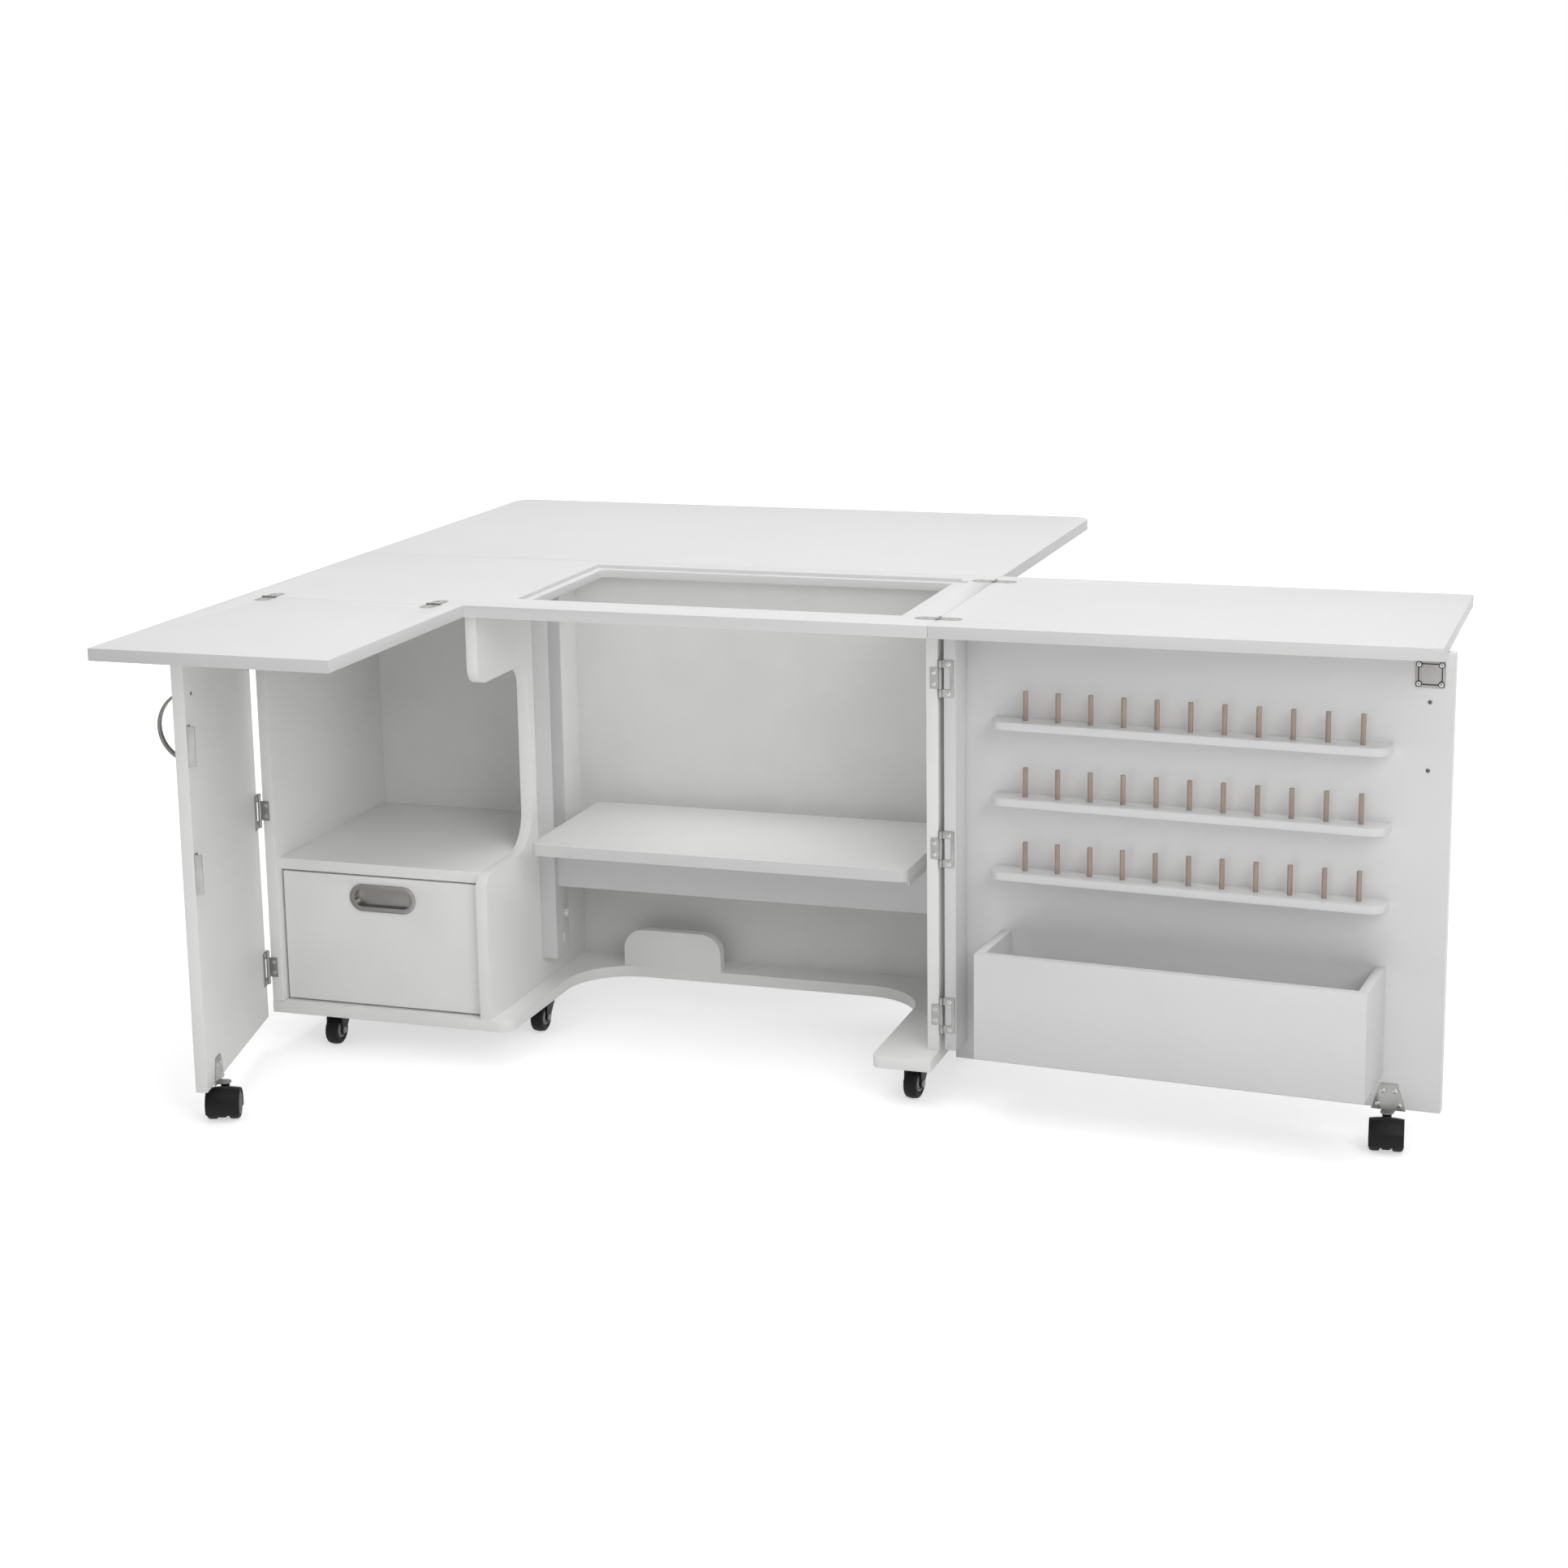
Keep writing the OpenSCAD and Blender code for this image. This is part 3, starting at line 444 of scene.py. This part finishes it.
def leaf_screws():
    """Screws of the moving halves of the leaf hinges."""
    screws = Piece("left_leaf_hinge_screws", "left_leaf_body", "nickel", SCREW_STEEL)
    for x in LEFT_FLUSH:
        for reach in FLUSH_REACH:
            screws.screw(facing(at(x, LEAF_SEAM - reach, SURFACE), (0, 0, 1), reach), 3, 0.3)
    screws.done()
    screws = Piece("right_leaf_hinge_screws", "right_leaf_body", "nickel", SCREW_STEEL)
    for y in RIGHT_FLUSH:
        for reach in FLUSH_REACH:
            screws.screw(facing(at(RIGHT_SEAM + reach, y, SURFACE), (0, 0, 1), reach), 3, 0.3)
    screws.done()
    screws = Piece("rear_leaf_screws", "rear_leaf_body", "nickel", SCREW_STEEL)
    for x in REAR_HINGES:
        for across in REAR_SPACING:
            screws.screw(facing(at(x + across, REAR_AXIS + 20, REAR_PLATE), (0, 0, -1)), 3, 0.6)
    for x in STAYS:
        for along in STAY_SPACING:
            screws.screw(facing(at(x + 28, 762.3 + along, 754), (0, 0, -1), along), 3.4, 1.0)
    screws.done()


fixed_screws()
leaf_screws()


# ---------- latch, catches, lift and leaves ----------
def latch_details():
    """A raised near-black frame line, painted shadow around the right door's latch plate, and four corner
    posts with screws whose near-black rings are painted shadow.
    """
    centre_x, centre_z = RIGHT_AXIS[0] - 731.5, 722.5
    plate_face = DOOR_FACE + 2.5
    line, line_x, line_z = 1.3, 17.2, 15.4
    corner_x, corner_z = 16.4, 14.4
    # The frame lines and the rings of the corner posts are near-black, as painted shadow.
    painted_shadow_rails = Piece("latch_frame_painted_shadow", "right_door_body", "zinc_steel", FRAME_PAINTED_SHADOW)
    posts = Piece("latch_screws", "right_door_body", "zinc_steel", SCREW_STEEL)
    for side in (-1, 1):
        for across, size in (((side * line_x, 0), (line, 24)), ((0, side * line_z), (28, line))):
            half_x, half_z = size[0] / 2, size[1] / 2
            outline = [(-half_x, -half_z), (half_x, -half_z), (half_x, half_z), (-half_x, half_z)]
            place = facing(at(centre_x + across[0], plate_face, centre_z + across[1]), (0, 1, 0))
            painted_shadow_rails.prism(outline, -0.2, 1.0, RIGHT_DOOR @ place, 0.3)
        for end in (-1, 1):
            corner = at(centre_x + side * corner_x, plate_face, centre_z + end * corner_z)
            place = facing(corner, (0, 1, 0), side + end)
            painted_shadow_rails.lathe([(0, -0.2), (4.6, -0.2), (4.6, 0.8), (4.2, 1.2), (0, 1.2)], RIGHT_DOOR @ place)
            posts.screw(RIGHT_DOOR @ place @ move(0, 0, 1.2), 3.2, 0.6)
    painted_shadow_rails.done()
    posts.done()


def catch_details():
    """Two screws in the flat leg of each catch plate on the left door."""
    screws = Piece("catch_screws", "left_door_body", "zinc_steel", SCREW_STEEL)
    for low in (375, 575):
        for up in (14, 48):
            point = at(LEFT_AXIS[0] + 370.5, DOOR_FACE + 2, low + up)
            screws.screw(LEFT_DOOR @ facing(point, (0, 1, 0), up), 3.2, 0.9)
    screws.done()


def lift_details():
    """Round white buttons and small slot plugs on the slide bars' inner faces."""
    buttons = Piece("lift_buttons", "lift", "white_steel", WHITE_NYLON)
    for x, way in ((430, 1), (1098, -1)):
        place = facing(at(x + way * 4, 282, 198), (way, 0, 0))
        buttons.lathe([(0, -0.5), (7.4, -0.5), (7.4, 1.2), (6.4, 2.4), (3.5, 3.1), (0, 3.3)], place, 40)
        slot_place = facing(at(x, 276, 155), (way, 0, 0), math.pi / 2)
        buttons.prism(stadium(18, 5), -0.2, 1.0, slot_place, 0.4)
    buttons.done()


def leaf_plugs():
    """A small round plug near the free corner of each folding leaf."""
    for leaf, x, y in (("left_leaf", 383, -452), ("right_leaf", 1890, 23)):
        plug = Piece(leaf + "_plug", leaf + "_body", "white_laminate", WHITE_NYLON)
        place = facing(at(x, y, 775), (0, 0, 1))
        plug.lathe([(0, -0.2), (3.6, -0.2), (3.6, 0.15), (3.0, 0.3), (0, 0.3)], place)
        plug.done()


latch_details()
catch_details()
lift_details()
leaf_plugs()


# ---------- casters ----------
def arc(radius, first, last, steps, centre=(0, 0)):
    """Points of an arc in degrees, as (radius, height) pairs of a profile."""
    points = []
    for k in range(steps + 1):
        angle = math.radians(first + (last - first) * k / steps)
        points.append((centre[0] + radius * math.cos(angle), centre[1] + radius * math.sin(angle)))
    return points


def base_caster(name):
    """A rounded tyre, a grey two-ring hub and axle nuts on the fork."""
    fork, wheel = name + "_caster_fork", name + "_caster_wheel"
    roll_at = Vector(JOINTS[name + "_caster_roll"]["pos_m"])
    axle = Vector(JOINTS[name + "_caster_roll"]["axis"])
    place = facing(roll_at, axle)
    half, radius, shoulder = 11.0, 25.0, 6.5
    side = [(14.2, half - 2.4), (14.8, half - 1.0), (16.5, half - 0.4), (radius - shoulder, half)]
    crown = arc(shoulder, 90, 35, 5, (radius - shoulder, half - shoulder))
    crown += arc(60, 2.2, 0, 2, (radius - 60, 0))
    upper = [(4.1, half - 2.4)] + side + crown[1:]
    lower = [(r, -h) for r, h in reversed(upper)]
    tyre = Piece(wheel + "_tyre", name + "_caster_wheel_body", "black_tread", TREAD)
    tyre.lathe(upper + lower[1:] + [upper[0]], place, 72)
    tyre.done([wheel])
    ring = Piece(wheel + "_hub", name + "_caster_wheel_body", "black_tread", HUB_GREY)
    for way in (1, -1):
        face = place @ Matrix.Rotation(0 if way > 0 else math.pi, 4, "X")
        level = half - 2.45
        ring.lathe([(10.4, level), (10.4, level + 1.5), (11.2, level + 2.2), (12.4, level + 2.2),
                    (13.2, level + 1.4), (13.2, level), (10.4, level)], face, 56)
        ring.lathe([(6.2, level), (6.2, level + 1.6), (6.9, level + 2.3), (8.2, level + 2.3),
                    (8.9, level + 1.6), (8.9, level), (6.2, level)], face, 48)
    ring.done()
    nuts = Piece(fork + "_axle_nuts", name + "_caster_swivel", "black_plastic", HUB_GREY)
    for way in (1, -1):
        face = place @ Matrix.Rotation(0 if way > 0 else math.pi, 4, "X")
        nuts.lathe([(0, 14.6), (6.0, 14.6), (6.2, 15), (6.2, 16.4), (5.2, 17.2), (0, 17.6)], face, 6)
    nuts.done()
    finish_nodes(BLACK_NYLON, fork, 1.0)


def twin_caster(side):
    """A barrel-shaped hood over two rounded wheels, with a grooved disc on each outer face."""
    name = side + "_door_caster"
    roll = JOINTS[name + "_roll"]
    place = facing(Vector(roll["pos_m"]), roll["axis"])
    across = place.to_3x3().inverted() @ Vector((0, 0, 1))
    up = math.degrees(math.atan2(across[1], across[0]))
    hood = Piece(name + "_hood", name + "_swivel", "black_plastic", BLACK_NYLON)
    hood_radius, crown, wall = 27, 160, 1.7
    outer = arc(crown, -9.4, 9.4, 10, (hood_radius - crown, 0))
    inner = [(r - wall, h * 0.985) for r, h in reversed(outer)]
    hood.lathe(outer + inner + [outer[0]], place, 64, up - 118, 236)
    web = [(4.5, -7), (22, -7), (24.5, -6.3), (25.5, -5), (25.5, 5), (24.5, 6.3), (22, 7), (4.5, 7),
           (4.5, -7)]
    hood.lathe(web, place, 64, up - 130, 260)
    hood.lathe([(0, -24), (3.9, -24), (3.9, 24), (0, 24)], place, 24)
    stem = Vector(JOINTS[name + "_turn"]["pos_m"])
    neck = [(4.1, 34), (7, 34), (7, 50.6), (6.4, 51.4), (4.1, 51.4), (4.1, 34)]
    hood.lathe(neck, Matrix.Translation((stem[0], stem[1], 0)), 40)
    hood.done([name + "_fork"])
    wheels = Piece(name + "_wheels_turned", name + "_wheels_body", "black_tread", TREAD)
    caps = Piece(name + "_wheel_caps", name + "_wheels_body", "black_plastic", BLACK_NYLON)
    for way in (1, -1):
        face = place @ Matrix.Rotation(0 if way > 0 else math.pi, 4, "X")
        profile = [(4.1, 8.6), (18.5, 8.6), (22.4, 9.4), (23.7, 11), (24, 14), (24, 20), (23.2, 23.4),
                   (21.5, 25), (19.6, 25.5), (18.6, 24.6), (4.1, 24.6), (4.1, 8.6)]
        wheels.lathe(profile, face, 72)
        caps.lathe([(0, 24.4), (17.8, 24.4), (17.9, 25.2), (16.9, 25.8), (12, 25.9), (11.4, 25.4),
                    (10.8, 25.9), (5, 26), (0, 26)], face, 56)
    wheels.done([name + "_wheels"])
    caps.done()


for caster in BASE_CASTERS:
    base_caster(caster)
for door_side in ("left", "right"):
    twin_caster(door_side)


# ---------- studio ----------
# The floor's own glow near the cabinet, the light of the surround, and how bright the surround looks in
# reflections on the viewer's side and behind the cabinet
FLOOR_GLOW, SURROUND, SHEEN, BACKDROP = 0.54, 0.20, 0.35, 1.0
# Name, place in metres from the cabinet's middle, width in metres and power in watts of each soft box
SOFT_BOXES = (("overhead", (0.3, 0.2, 4.2), 5.0, 165), ("key", (3.0, -3.0, 2.4), 2.4, 62),
              ("front", (0.5, -4.5, 1.5), 2.5, 14))


def math_node(tree, operation, first, second):
    """A math node fed by sockets or plain numbers."""
    node = tree.nodes.new("ShaderNodeMath")
    node.operation = operation
    for socket, value in zip(node.inputs, (first, second)):
        if isinstance(value, (int, float)):
            socket.default_value = value
        else:
            tree.links.new(value, socket)
    return node.outputs["Value"]


def map_range(tree, source, limits, interpolation="LINEAR"):
    """Maps a socket by limits of (from low, from high, to low, to high)."""
    node = tree.nodes.new("ShaderNodeMapRange")
    node.interpolation_type = interpolation
    for socket, value in zip(("From Min", "From Max", "To Min", "To Max"), limits):
        node.inputs[socket].default_value = value
    tree.links.new(source, node.inputs["Value"])
    return node.outputs["Result"]


def make_floor():
    """A round pale floor that runs out of sight and glows more the farther it is from the cabinet."""
    middle = at(700, 0, 0)
    sides, rings = 48, []
    mesh = bmesh.new()
    for radius in (2.0, 30.0):
        ring = []
        for k in range(sides):
            angle = 2 * math.pi * k / sides
            spot = (middle[0] + radius * math.cos(angle), middle[1] + radius * math.sin(angle), 0)
            ring.append(mesh.verts.new(spot))
        rings.append(ring)
    inner, outer = rings
    mesh.faces.new(inner)
    for k in range(sides):
        mesh.faces.new((inner[k], outer[k], outer[(k + 1) % sides], inner[(k + 1) % sides]))
    data = bpy.data.meshes.new("floor")
    mesh.to_mesh(data)
    mesh.free()
    floor = bpy.data.objects.new("floor", data)
    bpy.context.scene.collection.objects.link(floor)
    paper = surface("studio_floor", (0.82, 0.82, 0.82), 0.9, shade=0.0, cells=2, bump=0.0, specular=0.05)
    tree = paper.node_tree
    where = tree.nodes.new("ShaderNodeTexCoord")
    distance = tree.nodes.new("ShaderNodeVectorMath")
    distance.operation = "DISTANCE"
    distance.inputs[1].default_value = middle
    tree.links.new(where.outputs["Object"], distance.inputs[0])
    glow = map_range(tree, distance.outputs["Value"], (1.2, 3.2, FLOOR_GLOW, 1.0), "SMOOTHSTEP")
    seen = tree.nodes.new("ShaderNodeLightPath")
    lit = math_node(tree, "SUBTRACT", 1.0, seen.outputs["Is Diffuse Ray"])
    shader = tree.nodes["Principled BSDF"]
    shader.inputs["Emission Color"].default_value = (1, 1, 1, 1)
    tree.links.new(math_node(tree, "MULTIPLY", glow, lit), shader.inputs["Emission Strength"])
    data.materials.append(paper)


def make_surround():
    """A white world: plain to the eye, dim as light, and brighter in reflections from behind the cabinet."""
    world = bpy.data.worlds.new("surround")
    world.use_nodes = True
    tree = world.node_tree
    seen = tree.nodes.new("ShaderNodeLightPath")
    direct = math_node(tree, "MULTIPLY", seen.outputs["Is Camera Ray"], 1 - SURROUND)
    heading = tree.nodes.new("ShaderNodeTexCoord")
    parts = tree.nodes.new("ShaderNodeSeparateXYZ")
    tree.links.new(heading.outputs["Generated"], parts.inputs["Vector"])
    backdrop = map_range(tree, parts.outputs["Y"], (0.0, 0.6, SHEEN - SURROUND, BACKDROP - SURROUND))
    mirrored = math_node(tree, "MULTIPLY", seen.outputs["Is Glossy Ray"], backdrop)
    strength = math_node(tree, "ADD", math_node(tree, "ADD", direct, mirrored), SURROUND)
    background = tree.nodes["Background"]
    background.inputs["Color"].default_value = (1, 1, 1, 1)
    tree.links.new(strength, background.inputs["Strength"])
    bpy.context.scene.world = world


def make_soft_boxes():
    """Square area lights that face the cabinet's middle."""
    centre = at(700, 100, 450)
    for name, spot, width, power in SOFT_BOXES:
        light = bpy.data.lights.new(name, "AREA")
        light.size = width
        light.energy = power
        lamp = bpy.data.objects.new(name, light)
        lamp.matrix_world = facing(centre + Vector(spot), Vector(spot))
        bpy.context.scene.collection.objects.link(lamp)


bpy.context.scene.view_settings.view_transform = "Standard"
bpy.context.scene.view_settings.look = "None"
make_floor()
make_surround()
make_soft_boxes()
